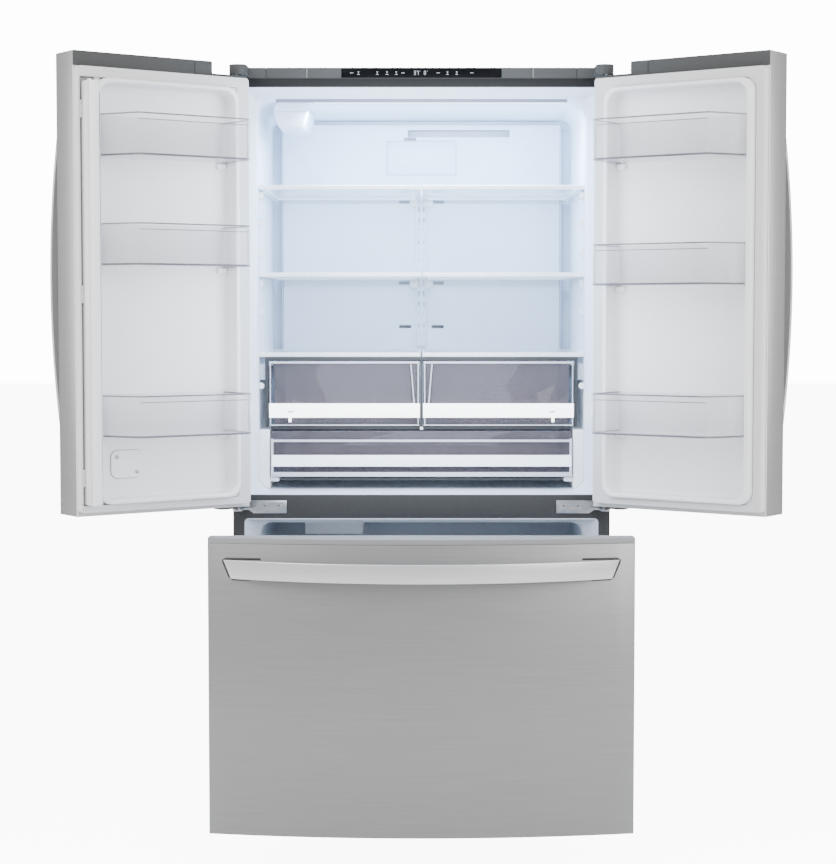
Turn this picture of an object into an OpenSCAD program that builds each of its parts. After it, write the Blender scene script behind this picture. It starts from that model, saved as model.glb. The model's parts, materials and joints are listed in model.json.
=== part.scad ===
// French door refrigerator with a bottom freezer drawer.
// Millimetres, +Z up, floor at Z = 0, front towards -Y.
// The cabinet's front plane is the design's Y = 0; placed() then centres the whole object.

/* [Cabinet] */
// Width of the cabinet
case_w = 908; // [840:1:960]
// Height of the cabinet without the control housing
case_h = 1746; // [1600:1:1850]
// Depth of the cabinet without the doors
case_d = 750; // [700:1:820]
// Height of the cabinet's underside above the floor
base_z = 32; // [28:1:45]
// Thickness of the painted steel sheet
sheet_t = 1.2; // [0.8:0.1:2]
// Thickness of the inner liners
liner_t = 2.5; // [2:0.1:4]
// Width of the dark upright of the front frame
stile_w = 24; // [18:1:32]
// Thickness of the front frame from front to back
frame_t = 18; // [12:1:24]
// Height of the frame above the fridge opening
header_h = 23; // [18:1:32]
// Underside of the rail between fridge and freezer
rail_z = 692; // [640:1:720]
// Height of the rail between fridge and freezer
rail_h = 62; // [54:1:72]
// Height of the housing on top that carries the controls
cover_h = 26; // [20:1:32]
// Depth of that housing
cover_d = 150; // [110:1:200]

/* [Fridge compartment] */
// Thickness of the walls beside the compartment
side_wall = 55; // [54:1:70]
// Thickness of the wall behind the compartment
rear_wall = 110; // [90:1:130]
// How far the flared mouth narrows towards the ceiling
mouth_drop = 19; // [12:1:26]
// Depth of the flared mouth
mouth_d = 30; // [24:1:40]
// Radius of the compartment's corners
liner_r = 30; // [16:1:40]
// Radius of the corners of the mouth's outer edge
mouth_r = 8; // [4:1:20]
// Depth of the air duct panel on the rear wall
duct_d = 40; // [24:1:50]
// Distance of the top shelves below the opening's upper edge
top_shelf_drop = 222; // [190:1:260]
// Distance of the middle shelves below the opening's upper edge
middle_shelf_drop = 435; // [400:1:470]
// Height of a shelf's front trim
trim_h = 11; // [9:1:14]
// Thickness of the tempered glass
glass_t = 4; // [3:0.5:5]

/* [Crispers and pantry] */
// Height of a crisper
crisper_h = 160; // [130:1:190]
// Height of the pantry drawer
pantry_h = 112; // [90:1:134]
// Free space behind the crispers
crisper_gap = 80; // [20:1:160]
// Free space behind the pantry drawer
pantry_gap = 70; // [20:1:160]

/* [Doors] */
// Gap that the gasket fills between door and cabinet
gasket_gap = 22; // [18:1:26]
// Thickness of a door at the middle of the front
door_t = 86; // [78:1:96]
// Depth of the curve across the whole front
front_bow = 43; // [30:1:46]
// Height of a door's top cap
cap_h = 34; // [28:1:36]
// Opening angle of both doors in the stored pose
door_open = 144; // [90:1:150]
// Hinge pin's distance from the cabinet's side
hinge_inset = 16; // [15:0.5:20]
// Hinge pin's distance in front of the cabinet
hinge_out = 50; // [46:1:54]
// Radius of the hinge pins
hinge_pin_r = 5; // [4:0.5:6]
// Radial clearance of a pin in its hole
pin_clear = 0.06; // [0.02:0.01:0.1]
// Gap between the two doors
door_gap = 6; // [4:1:8]
// Height of the liner's raised ring above the door's inner face
dike_h = 35; // [28:1:38]
// Depth of the recess behind the bins
recess_d = 15; // [8:1:20]
// How far the bins stand out from the door's inner face
bin_reach = 122; // [90:1:140]
// Height of a door bin
bin_h = 94; // [70:1:110]
// Length of a door handle
handle_len = 800; // [600:1:900]
// Stand-off of every handle from the door
handle_out = 65; // [50:1:75]
// Width of a handle's ribbon
handle_w = 40; // [30:1:44]
// Thickness of a handle's ribbon
handle_t = 9; // [6:1:12]

/* [Centre flap] */
// Width of the flap that bridges the gap between the doors
flap_w = 42; // [38:1:44]
// Thickness of that flap
flap_t = 27; // [22:1:28]

/* [Freezer] */
// Thickness of the walls beside the freezer
freezer_wall = 62; // [58:1:80]
// Floor of the freezer compartment
freezer_z = 105; // [95:1:120]
// Thickness of the wall behind the freezer, with the evaporator in it
freezer_rear = 230; // [200:1:260]
// Underside of the drawer front above the floor
drawer_z = 77; // [70:1:90]
// How far the drawer stands open in the stored pose
drawer_pull = 525; // [300:1:530]
// Distance of the basket's rim below the rail
rim_drop = 190; // [180:1:260]

/* [Machine room] */
// Height of the machine room's ceiling
room_h = 300; // [280:1:320]
// Depth of the machine room
room_d = 268; // [240:1:280]
// Radius of the rear rollers
roller_r = 24; // [18:1:26]
// Radius of the compressor's shell
compressor_r = 78; // [60:1:90]

/* [Hidden] */
$fn = 96;
eps = 0.01;
half_w = case_w / 2;
clear = 1;                        // general running gap between a drawer and its guide
wall = 2.5;                       // moulded wall of bins, baskets and drawers
rail_top = rail_z + rail_h;
opening_top = case_h - header_h;
mouth_half = half_w - stile_w;
fridge_half = half_w - side_wall;
fridge_depth = case_d - rear_wall;
fridge_top = opening_top - mouth_drop;
fridge_floor = rail_top + 3;
freezer_half = half_w - freezer_wall;
freezer_depth = case_d - freezer_rear;
freezer_step = case_d - room_d - 42;  // front of the step over the machine room
door_z = rail_z + 38;
duct_y = fridge_depth - duct_d;   // face of the duct panel
door_edge = half_w - 0.5;         // outer edge of a door
latch_x = door_gap / 2;
face_y = -gasket_gap;             // inner face of the doors
front_y = face_y - door_t;        // foremost line of the closed front
bow_r = (door_edge * door_edge + front_bow * front_bow) / (2 * front_bow);
pivot_x = half_w - hinge_inset;
pivot_y = -hinge_out;
door_top = case_h + cover_h - cap_h;
base_cap_h = 8;
shelf_front = face_y + bin_reach + 12;
top_shelf_z = opening_top - top_shelf_drop;
middle_shelf_z = opening_top - middle_shelf_drop;
pantry_half = fridge_half - 30;
pantry_z = fridge_floor + 30;
pantry_back = duct_y - pantry_gap;
crisper_reach = fridge_half - 25;
crisper_z = pantry_z + pantry_h + 12;
crisper_top = crisper_z + crisper_h;
crisper_back = duct_y - crisper_gap;
crisper_cover_z = crisper_top + 21;
basket_half = freezer_half - 47;
basket_rim = rail_z - rim_drop;
basket_d = freezer_step - 40;
drawer_top = door_z - 17;
drawer_h = drawer_top - drawer_z;
drawer_handle_half = half_w - 34;
handle_lip = 3;                       // thickness of a handle's ends where they meet the front
bin_top_z = [door_top - 106, door_top - 349, door_top - 734];       // left door
bin_top_right_z = [door_top - 106, door_top - 392, door_top - 734]; // right door
latch_dike = [42, 24];                // ring's distance from the latch edge, left and right
latch_recess = [50, 40];              // recess's distance from the latch edge, left and right
hinge_dike = 42;
hinge_recess = 53;
dike_low = 27;                        // ring's distance from the door's ends
dike_top = 26;
ring_w = 10;
dike_r = 30;
flap_low = fridge_floor + 2;
flap_high = fridge_top - 3;
flap_x = latch_x + 11;                // folded flap's steel face
flap_pivot = [flap_x - 3, -3];
flap_y = flap_pivot[1] - flap_w / 2 + flap_pivot[0];  // folded flap's end beyond its pivot
flap_knuckles = [flap_low + 60, (flap_low + flap_high) / 2, flap_high - 60];
rest_front = front_y - handle_out - drawer_pull;
frame_shift = -(case_d + rest_front) / 2;

// ---- frames and shared shapes ----
module placed() translate([0, frame_shift, 0]) children();
module both_sides() { children(); mirror([1, 0, 0]) children(); }
// Children are drawn on the closed right door; side -1 gives the left one.
module on_door(side)
    placed() mirror([side < 0 ? 1 : 0, 0, 0])
        translate([pivot_x, pivot_y, 0]) rotate(door_open) translate([-pivot_x, -pivot_y, 0]) children();
module on_drawer() placed() translate([0, -drawer_pull, 0]) children();
module slab(x1, x2, y1, y2, z1, z2) translate([x1, y1, z1]) cube([x2 - x1, y2 - y1, z2 - z1]);
module round_rect(x1, x2, z1, z2, r) {
    translate([x1 + r, z1]) square([x2 - x1 - 2 * r, z2 - z1]);
    translate([x1, z1 + r]) square([x2 - x1, z2 - z1 - 2 * r]);
    for (x = [x1 + r, x2 - r], z = [z1 + r, z2 - r]) translate([x, z]) circle(r);
}
// A block with rounded corners seen from the front, between the planes y1 and y2.
module front_block(x1, x2, y1, y2, z1, z2, r)
    translate([0, y2, 0]) rotate([90, 0, 0]) linear_extrude(y2 - y1) round_rect(x1, x2, z1, z2, r);
// An open-topped tub with even walls.
module tub(x1, x2, y1, y2, z1, z2, w) difference() {
    slab(x1, x2, y1, y2, z1, z2);
    slab(x1 + w, x2 - w, y1 + w, y2 - w, z1 + w, z2 + w);
}
// The bowed front outline in plan, g inside the outer face.
module front_outline(x1, x2, g, back) intersection() {
    translate([0, front_y + bow_r]) circle(bow_r - g, $fn = 256);
    translate([x1, front_y - 1]) square([x2 - x1, back - front_y + 1]);
}
// Open shape of a compartment, grown outwards by g, with its flared mouth.
module compartment(half, z1, z2, depth, flare_x, flare_z1, flare_z2, g) {
    front_block(-half - g, half + g, -g - eps, depth + g, z1 - g, z2 + g, liner_r + g);
    intersection() {
        translate([0, 0, z1 - 50]) linear_extrude(z2 - z1 + 100) polygon([
            [-flare_x - g, -g - eps], [flare_x + g, -g - eps], [flare_x + g, 0], [half + g, mouth_d],
            [half + g, mouth_d + g], [-half - g, mouth_d + g], [-half - g, mouth_d], [-flare_x - g, 0]]);
        rotate([90, 0, 90]) linear_extrude(2 * flare_x + 100, center = true) polygon([
            [-g - eps, flare_z1 - g], [-g - eps, flare_z2 + g], [0, flare_z2 + g],
            [mouth_d, z2 + g], [mouth_d + g, z2 + g], [mouth_d + g, z1 - g], [mouth_d, z1 - g],
            [0, flare_z1 - g]]);
        front_block(-flare_x - g, flare_x + g, -g - 1, mouth_d + g + 1, flare_z1 - g, flare_z2 + g,
            mouth_r + g);
    }
}
module fridge_void(g) compartment(fridge_half, fridge_floor, fridge_top, fridge_depth,
    mouth_half, rail_top, opening_top, g);
module freezer_void(g) difference() {
    compartment(freezer_half, freezer_z, rail_z - 10, freezer_depth, mouth_half - 6,
        freezer_z - 6, rail_z, g);
    slab(-half_w, half_w, freezer_step + g, case_d, 0, room_h + 30 - g);
}
module mouth_cut(half, z1, z2) front_block(-half, half, -1, frame_t + 1, z1, z2, mouth_r + liner_t);

// ---- cabinet ----
wheel_x = half_w - 60;
wheel_w = 22;
axle_r = 4;
axle_y = case_d - 50;
module outer_case() color([0.27, 0.28, 0.29]) placed() difference() {
    slab(-half_w, half_w, frame_t, case_d - sheet_t, base_z, case_h);
    slab(-half_w + sheet_t, half_w - sheet_t, 0, case_d, 0, case_h - sheet_t);
}
module rear_panel() color([0.55, 0.56, 0.57]) placed() difference() {
    slab(-half_w, half_w, case_d - sheet_t, case_d, room_h, case_h);
    for (z = [room_h + 40 : (case_h - room_h - 80) / 4 : case_h - 40], x = [-half_w + 12, half_w - 12])
        translate([x, case_d + 1, z]) rotate([90, 0, 0]) cylinder(r = 2, h = 4);
}
module base_tray() color([0.5, 0.51, 0.52]) placed() {
    difference() {
        slab(-half_w + sheet_t, half_w - sheet_t, frame_t, case_d - 2 * sheet_t, base_z, base_z + 3);
        both_sides() slab(wheel_x - 4, wheel_x + wheel_w + 4, axle_y - roller_r - 4, axle_y + roller_r + 4,
            base_z - 1, base_z + 4);
    }
    both_sides() difference() {
        slab(wheel_x - 12, wheel_x - 9, axle_y - 12, axle_y + 12, roller_r - 10, base_z);
        translate([wheel_x - 13, axle_y, roller_r]) rotate([0, 90, 0]) cylinder(r = axle_r + pin_clear, h = 5);
    }
    both_sides() slab(half_w - sheet_t - 2, half_w - sheet_t, case_d - room_d, case_d - 2 * sheet_t,
        base_z + 3, room_h);
    slab(-half_w + sheet_t, half_w - sheet_t, frame_t, frame_t + 3, base_z + 3, 66);
}
module cabinet_foam() color([0.93, 0.9, 0.7]) placed() difference() {
    slab(-half_w + sheet_t, half_w - sheet_t, frame_t, case_d - sheet_t, 66, case_h - sheet_t);
    fridge_void(liner_t);
    freezer_void(liner_t);
    slab(-half_w, half_w, case_d - room_d, case_d, 0, room_h);
    slab(-300, 300, freezer_depth + 10, freezer_depth + 90, 350, 660);
}
module fridge_liner() color([0.88, 0.91, 0.94]) placed() difference() {
    intersection() {
        fridge_void(liner_t);
        slab(-half_w, half_w, 0, case_d, 0, case_h);
    }
    fridge_void(0);
}
module freezer_liner() color([0.85, 0.88, 0.91]) placed() difference() {
    intersection() {
        freezer_void(liner_t);
        slab(-half_w, half_w, 0, case_d, 0, case_h);
    }
    freezer_void(0);
}
module front_frame() color([0.29, 0.3, 0.3]) placed() difference() {
    slab(-half_w, half_w, 0, frame_t, base_z, case_h);
    mouth_cut(mouth_half + liner_t, rail_top - liner_t, opening_top + liner_t);
    mouth_cut(mouth_half - 6 + liner_t, freezer_z - 6 - liner_t, rail_z + liner_t);
}
module top_cover() color([0.42, 0.43, 0.44]) placed() difference() {
    slab(-half_w + 84, half_w - 84, 2, cover_d, case_h, case_h + cover_h);
    slab(-half_w + 87, half_w - 87, 5, cover_d - 3, case_h - 1, case_h + cover_h - 3);
    slab(-191, 191, 0, 2 + 1.5, case_h + 2, case_h + cover_h - 1);
    for (x = [-274, 266]) slab(x - 1, x + 1, 0, 2 + 0.8, case_h, case_h + cover_h + 1);
}
module display_panel() color([0.05, 0.05, 0.06]) placed()
    slab(-190.5, 190.5, 1.2, 3.5, case_h + 2.5, case_h + cover_h - 1.5);
module hinge_cover_shape(g) {
    slab(half_w - 83 + g, half_w - g, 2 + g, cover_d - g, case_h - 1, case_h + cover_h - g);
    slab(pivot_x - 27 + g, pivot_x + 15 - g, pivot_y, 3 + 2 * g, case_h + 2 - g, case_h + cover_h - g);
    translate([pivot_x - 6, pivot_y, case_h + 2 - g]) cylinder(r = 21 - g, h = cover_h - 2);
}
module hinge_covers() color([0.42, 0.43, 0.44]) placed() both_sides() difference() {
    intersection() {
        hinge_cover_shape(0);
        slab(0, half_w, -200, 200, case_h, case_h + cover_h);
    }
    hinge_cover_shape(3);
    translate([pivot_x - 6, pivot_y, 0]) cylinder(r = 17, h = case_h + 20);
}
module upper_hinges() color([0.7, 0.71, 0.72]) placed() both_sides() {
    difference() {
        union() {
            slab(half_w - 76, half_w - 12, 12, 120, case_h, case_h + 5);
            slab(pivot_x - 20, pivot_x + 10, pivot_y, 20, case_h + 5, case_h + 9);
            slab(pivot_x - 20, pivot_x + 10, 12, 40, case_h, case_h + 9);
            translate([pivot_x, pivot_y, case_h + 5]) cylinder(r = 11, h = 4);
        }
        for (y = [40, 100]) translate([half_w - 60, y, case_h - 1]) cylinder(r = 3.2, h = 30);
    }
    translate([pivot_x, pivot_y, door_top - 12]) cylinder(r = hinge_pin_r, h = case_h + 6 - door_top + 12);
}
hinge_plate = [half_w - 129, half_w - 24, rail_z + 15, rail_z + 46];
module lower_hinges() color([0.75, 0.76, 0.77]) placed() both_sides() {
    difference() {
        rotate([90, 0, 0]) linear_extrude(4) polygon([
            [hinge_plate[0], hinge_plate[2]], [hinge_plate[1] - 26, hinge_plate[2]],
            [hinge_plate[1], hinge_plate[2] + 18], [hinge_plate[1], hinge_plate[3]],
            [hinge_plate[0], hinge_plate[3]]]);
        for (x = [hinge_plate[0] + 18, hinge_plate[0] + 52])
            translate([x, 1, hinge_plate[2] + 16]) rotate([90, 0, 0]) cylinder(r = 3.2, h = 8);
    }
    slab(pivot_x - 40, pivot_x + 6, -24, -4, door_z - 13, door_z - 8.5);
    slab(pivot_x - 12, pivot_x + 6, pivot_y, -24, door_z - 13, door_z - 8.5);
    translate([pivot_x, pivot_y, door_z - 13]) cylinder(r = 12, h = 4.5);
    translate([pivot_x, pivot_y, door_z - 13]) cylinder(r = hinge_pin_r, h = 33);
}
vent_rows = [top_shelf_z + 14, top_shelf_z - 14, middle_shelf_z - 18, crisper_cover_z + 60];
module duct_panel() color([0.86, 0.89, 0.93]) placed() difference() {
    front_block(-fridge_half + 24, fridge_half - 24, duct_y, fridge_depth - eps, fridge_floor + 12,
        fridge_top - 12, 12);
    front_block(-fridge_half + 27, fridge_half - 27, duct_y + 3, fridge_depth + 1, fridge_floor + 15,
        fridge_top - 15, 10);
    for (z = vent_rows, x = [-44, 44]) slab(x - 16, x + 16, duct_y - 1, duct_y + 4, z - 4, z + 4);
    slab(-36, 236, duct_y - 1, duct_y + 4, fridge_top - 44, fridge_top - 26);
}
lug_rows = [top_shelf_z - 24, top_shelf_z - 88, top_shelf_z - 162, middle_shelf_z - 26,
    middle_shelf_z - 96];
module shelf_supports() color([0.9, 0.92, 0.95]) placed() {
    difference() {
        slab(-14, 14, duct_y - 6, duct_y, crisper_cover_z + 8, top_shelf_z + 20);
        for (z = [crisper_cover_z + 30 : 28 : top_shelf_z - 10], x = [-6, 6])
            slab(x - 2, x + 2, duct_y - 7, duct_y - 2, z, z + 14);
    }
    for (z = lug_rows) both_sides()
        front_block(fridge_half - 9, fridge_half, shelf_front + 30, shelf_front + 70, z - 9, z + 9, 3);
}
// One half shelf's frame: trims all round, open in the middle.
module half_frame(z) difference() {
    slab(2, fridge_half, shelf_front, duct_y - 6, z - trim_h, z);
    slab(16, fridge_half - 16, shelf_front + 16, duct_y - 22, z - trim_h - 1, z + 1);
    slab(8, fridge_half - 8, shelf_front + 8, duct_y - 14, z - glass_t - 0.5, z + 1);
}
module half_glass(z) slab(8.5, fridge_half - 8.5, shelf_front + 8.5, duct_y - 14.5, z - glass_t - 0.5,
    z - 0.5);
module shelf_frames() color([0.96, 0.97, 0.98]) placed()
    for (z = [top_shelf_z, middle_shelf_z, crisper_cover_z]) both_sides() half_frame(z);
module shelf_glass() color([0.8, 0.9, 0.9, 0.4]) placed()
    for (z = [top_shelf_z, middle_shelf_z, crisper_cover_z]) both_sides() half_glass(z);
rim_z = crisper_top - 6;            // underside of a crisper's rim
module crisper_rails() color([0.9, 0.92, 0.95]) placed() {
    slab(-3, 3, shelf_front + 14, crisper_back, crisper_z - 3, rim_z - clear);
    slab(-9, 9, shelf_front + 14, crisper_back, rim_z - clear - 5, rim_z - clear);
    both_sides() {
        slab(crisper_reach - 8, fridge_half, shelf_front + 20, crisper_back, rim_z - clear - 5,
            rim_z - clear);
        slab(crisper_reach + 4, fridge_half, shelf_front + 20, crisper_back, rim_z - clear - 40,
            rim_z - clear - 5);
    }
}
module pantry_rails() color([0.96, 0.97, 0.98]) placed() both_sides() {
    intersection() {
        slab(pantry_half + 3, fridge_half, 96, pantry_back, fridge_floor, pantry_z + pantry_h + 4);
        front_block(-fridge_half, fridge_half, 90, pantry_back + 1, fridge_floor, fridge_top, liner_r + 2);
    }
    slab(pantry_half - 19, pantry_half + 3, 104, pantry_back, pantry_z - 12, pantry_z - clear);
}
module filter_housing() color([0.93, 0.95, 0.97]) placed() translate([-320, 420, 0]) rotate([90, 0, 0])
    linear_extrude(290) polygon([[-34, fridge_top], [34, fridge_top], [43, fridge_top - 20],
        [32, fridge_top - 58], [22, fridge_top - 64], [-22, fridge_top - 64], [-32, fridge_top - 58],
        [-43, fridge_top - 20]]);
module ceiling_light() color([0.97, 0.98, 1]) placed()
    slab(-260, 350, 68, 124, fridge_top - 5, fridge_top);
freezer_rail_z = rail_z - 292;
freezer_ledge_z = basket_rim + 7;
module freezer_rails() color([0.75, 0.76, 0.77]) placed() both_sides() {
    difference() {
        slab(freezer_half - 20, freezer_half, 4, freezer_depth - 8, freezer_rail_z, freezer_rail_z + 46);
        slab(freezer_half - 21, freezer_half - 3, 3, freezer_depth - 7, freezer_rail_z + 3,
            freezer_rail_z + 43);
    }
    slab(basket_half - 12, freezer_half, mouth_d, 330, freezer_ledge_z, freezer_ledge_z + 8);
}
module kick_grille() color([0.22, 0.23, 0.24]) placed() difference() {
    slab(-half_w + 16, half_w - 16, -8, 0, 12, drawer_z - 6);
    for (x = [-half_w + 60 : 26 : half_w - 66]) slab(x, x + 6, -9, 1, 26, drawer_z - 18);
}
module levelling_feet() color([0.3, 0.3, 0.31]) placed() both_sides() {
    translate([half_w - 50, 50, 0]) cylinder(r = 20, h = 8);
    translate([half_w - 50, 50, 8]) cylinder(r = 16, h = 8, $fn = 6);
    translate([half_w - 50, 50, 16]) cylinder(r = 6, h = base_z - 16);
}
module compressor() color([0.08, 0.08, 0.09]) placed() translate([-230, case_d - room_d / 2 - 10, 0]) {
    translate([0, 0, base_z + 17]) cylinder(r = compressor_r, h = 110);
    translate([0, 0, base_z + 127]) intersection() {
        sphere(r = compressor_r);
        translate([-100, -100, 0]) cube([200, 200, 46]);
    }
    for (x = [-70, 70], y = [-60, 60]) translate([x, y, base_z + 3]) cylinder(r = 12, h = 14 + eps);
    slab(-84, 84, -72, 72, base_z + 16, base_z + 19);
}
module evaporator() color([0.8, 0.81, 0.82]) placed() {
    for (z = [380 : 26 : 536]) slab(-250, 250, freezer_depth + 22, freezer_depth + 78, z, z + 1.2);
    for (y = [freezer_depth + 35, freezer_depth + 65], x = [-180, -60, 60, 180])
        translate([x, y, 372]) cylinder(r = 4, h = 172);
}
module drain_pan() color([0.2, 0.2, 0.21]) placed()
    tub(-100, 180, case_d - room_d + 30, case_d - 30, base_z + 4, base_z + 44, wall);
module rear_cover() color([0.16, 0.16, 0.17]) placed() difference() {
    slab(-half_w, half_w, case_d - sheet_t, case_d, base_z + 4, room_h);
    for (x = [-380 : 30 : 300], z = [90, 150, 210])
        slab(x, x + 14, case_d - 3, case_d + 1, z, z + 34);
    translate([370, case_d + 1, 120]) rotate([90, 0, 0]) cylinder(r = 13, h = 4);
}
module ice_maker() color([0.93, 0.95, 0.97]) placed()
    slab(-300, -150, 330, freezer_depth - 20, rail_z - 72, rail_z - 10);
module water_valve() color([0.85, 0.86, 0.8]) placed() translate([370, 0, 120]) {
    slab(-22, 22, case_d - 60, case_d - 14, -22, 26);
    translate([0, case_d, 0]) rotate([90, 0, 0]) cylinder(r = 5.56, h = 16);
    slab(-26, 18, case_d - 64, case_d - 60, -120 + base_z + 3, 30);
}
module rear_rollers() color([0.25, 0.25, 0.26]) placed() translate([0, axle_y, roller_r]) {
    both_sides() translate([wheel_x, 0, 0]) rotate([0, 90, 0]) cylinder(r = roller_r, h = wheel_w);
    rotate([0, 90, 0]) cylinder(r = axle_r, h = 2 * (wheel_x + wheel_w + 8), center = true);
}
module blades(r, hub, h, n) {
    cylinder(r = hub, h = h);
    for (a = [0 : 360 / n : 359]) rotate(a) translate([hub - 2, 0, h / 2]) rotate([28, 0, 0])
        translate([0, -r / 4, -1]) cube([r - hub, r / 2, 2]);
}
fan_y = case_d - room_d / 2;
module condenser_fan() color([0.2, 0.2, 0.2]) placed()
    translate([20, fan_y, 165]) rotate([0, 90, 0]) blades(70, 20, 24, 5);
module evaporator_fan() color([0.85, 0.86, 0.87]) placed()
    translate([0, freezer_depth + 62, 605]) rotate([90, 0, 0]) blades(48, 16, 20, 5);

// ---- doors ----
cap_cut = [pivot_x - 82, door_top + 6];   // where the cap is low to pass the hinge cover
module door_skin(side) on_door(side) color([0.68, 0.69, 0.7]) difference() {
    translate([0, 0, door_z]) linear_extrude(door_top + cap_h - door_z)
        front_outline(latch_x, door_edge, 0, face_y - liner_t);
    translate([0, 0, door_z - 1]) linear_extrude(door_top + cap_h - door_z + 2)
        front_outline(latch_x + sheet_t, door_edge - sheet_t, sheet_t, 0);
    slab(cap_cut[0], half_w, front_y - 1, 0, cap_cut[1], door_top + cap_h + 1);
}
module door_liner(side) {
    i = side < 0 ? 0 : 1;
    x1 = latch_x + latch_dike[i];
    x2 = door_edge - hinge_dike;
    rx1 = latch_x + latch_recess[i];
    rx2 = door_edge - hinge_recess;
    z1 = door_z + dike_low;
    z2 = door_top - dike_top;
    on_door(side) color([0.87, 0.9, 0.92]) {
        difference() {
            union() {
                slab(latch_x, door_edge, face_y - liner_t, face_y, door_z, door_top);
                front_block(x1, x2, face_y - liner_t, face_y + dike_h, z1, z2, dike_r);
                front_block(rx1 - wall, rx2 + wall, face_y - recess_d - wall, face_y, z1 + ring_w - wall,
                    z2 - ring_w + wall, dike_r);
            }
            front_block(rx1, rx2, face_y - recess_d, face_y + dike_h + 1, z1 + ring_w, z2 - ring_w, dike_r);
        }
        if (side < 0) for (z = flap_knuckles, s = [-1, 1]) translate([0, 0, z + s * 16 - 3]) difference() {
            union() {
                slab(flap_pivot[0] - 1.5, flap_pivot[0] + 1.5, face_y - eps, flap_pivot[1], 0, 6);
                translate([flap_pivot[0], flap_pivot[1], 0]) cylinder(r = 2.5, h = 6);
            }
            translate([flap_pivot[0], flap_pivot[1], -1]) cylinder(r = 1.3 + pin_clear, h = 8);
        }
    }
}
module pin_hole(z1, z2) translate([pivot_x, pivot_y, z1]) cylinder(r = hinge_pin_r + pin_clear, h = z2 - z1);
module door_caps(side) on_door(side) color([0.42, 0.43, 0.44]) {
    difference() {
        translate([0, 0, door_top]) linear_extrude(cap_h)
            front_outline(latch_x + sheet_t, door_edge - sheet_t, sheet_t, face_y);
        slab(cap_cut[0], half_w, front_y - 1, 0, cap_cut[1], door_top + cap_h + 1);
        pin_hole(door_top - 1, door_top + 20);
    }
    difference() {
        translate([pivot_x, pivot_y, door_top - 22]) cylinder(r = 10, h = 22);
        pin_hole(door_top - 14, door_top + 1);
    }
    difference() {
        union() {
            translate([0, 0, door_z]) linear_extrude(base_cap_h)
                front_outline(latch_x + sheet_t, door_edge - sheet_t, sheet_t, face_y - liner_t);
            slab(pivot_x - 62, pivot_x - 16, face_y - 34, face_y - 4, door_z - 5, door_z);
            translate([pivot_x, pivot_y, door_z]) cylinder(r = 10, h = 28);
        }
        pin_hole(door_z - 1, door_z + 24);
    }
}
// A seal between two rounded outlines, each [x1, x2, z1, z2, radius].
module gasket_ring(outer, inner) difference() {
    front_block(outer[0], outer[1], face_y, -0.5, outer[2], outer[3], outer[4]);
    front_block(inner[0], inner[1], face_y - 1, 1, inner[2], inner[3], inner[4]);
}
module door_gasket(side) on_door(side) color([0.8, 0.8, 0.81])
    gasket_ring([latch_x + 1, pivot_x + 6, door_z + 10, door_top - 2, 8],
        [side < 0 ? latch_x + 5 : latch_x + latch_dike[1] - clear, door_edge - hinge_dike + clear,
            door_z + dike_low - clear, door_top - dike_top + clear, side < 0 ? 4 : dike_r]);
handle_sag = handle_out - handle_lip;
handle_r = (handle_len * handle_len / 4 + handle_sag * handle_sag) / (2 * handle_sag);
module door_handle(side) on_door(side) color([0.8, 0.8, 0.81]) difference() {
    translate([latch_x + 11, 0, (door_z + door_top) / 2 + 26]) rotate([90, 0, 90])
        linear_extrude(handle_w) intersection() {
            translate([front_y - handle_out + handle_r, 0]) difference() {
                circle(handle_r, $fn = 256);
                circle(handle_r - handle_t, $fn = 256);
            }
            translate([front_y - handle_out - 1, -handle_len / 2]) square([handle_out + 8, handle_len]);
        }
    linear_extrude(2000) front_outline(0, 120, 0, 0);
}
module bin(i, top) {
    x1 = latch_x + latch_recess[i] + clear;
    x2 = fridge_half - 3.5;
    back = face_y - recess_d + clear;
    front = face_y + bin_reach;
    difference() {
        translate([0, 0, top - bin_h]) linear_extrude(bin_h) difference() {
            polygon([[x1, back], [x1, face_y + 30], [x1 + 46, front], [x2, front], [x2, back]]);
            polygon([[x2 - 14, front + 1], [x2 + 1, front + 1], [x2 + 1, front - 14]]);
        }
        translate([0, 0, top - bin_h + wall]) linear_extrude(bin_h) difference() {
            polygon([[x1 + wall, back + wall], [x1 + wall, face_y + 30], [x1 + 46 + wall, front - wall],
                [x2 - wall, front - wall], [x2 - wall, back + wall]]);
            polygon([[x2 - 14 - wall, front + 1], [x2 + 1, front + 1], [x2 + 1, front - 14 - wall]]);
        }
    }
}
module door_bins(side) on_door(side) color([0.85, 0.88, 0.92, 0.5])
    for (top = side < 0 ? bin_top_z : bin_top_right_z) bin(side < 0 ? 0 : 1, top);
module door_left_skin() door_skin(-1);
module door_left_liner() door_liner(-1);
module door_left_caps() door_caps(-1);
module door_left_gasket() door_gasket(-1);
module door_left_handle() door_handle(-1);
module door_left_bins() door_bins(-1);
module door_right_skin() door_skin(1);
module door_right_liner() door_liner(1);
module door_right_caps() door_caps(1);
module door_right_gasket() door_gasket(1);
module door_right_handle() door_handle(1);
module door_right_bins() door_bins(1);
module flap_housing() on_door(-1) color([0.93, 0.94, 0.96])
    slab(flap_x + 1.2, flap_x + flap_t, flap_y, flap_y + flap_w, flap_low, flap_high);
module flap_plate() on_door(-1) color([0.62, 0.62, 0.63]) {
    slab(flap_x, flap_x + 1.2, flap_y, flap_y + flap_w, flap_low, flap_high);
    for (z = flap_knuckles) translate([flap_pivot[0], flap_pivot[1], z]) {
        translate([0, 0, -12]) cylinder(r = 2.5, h = 24);
        slab(0, 3, -1, 1, -12, 12);
        translate([0, 0, -18]) cylinder(r = 1.3, h = 36);
    }
}

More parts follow.
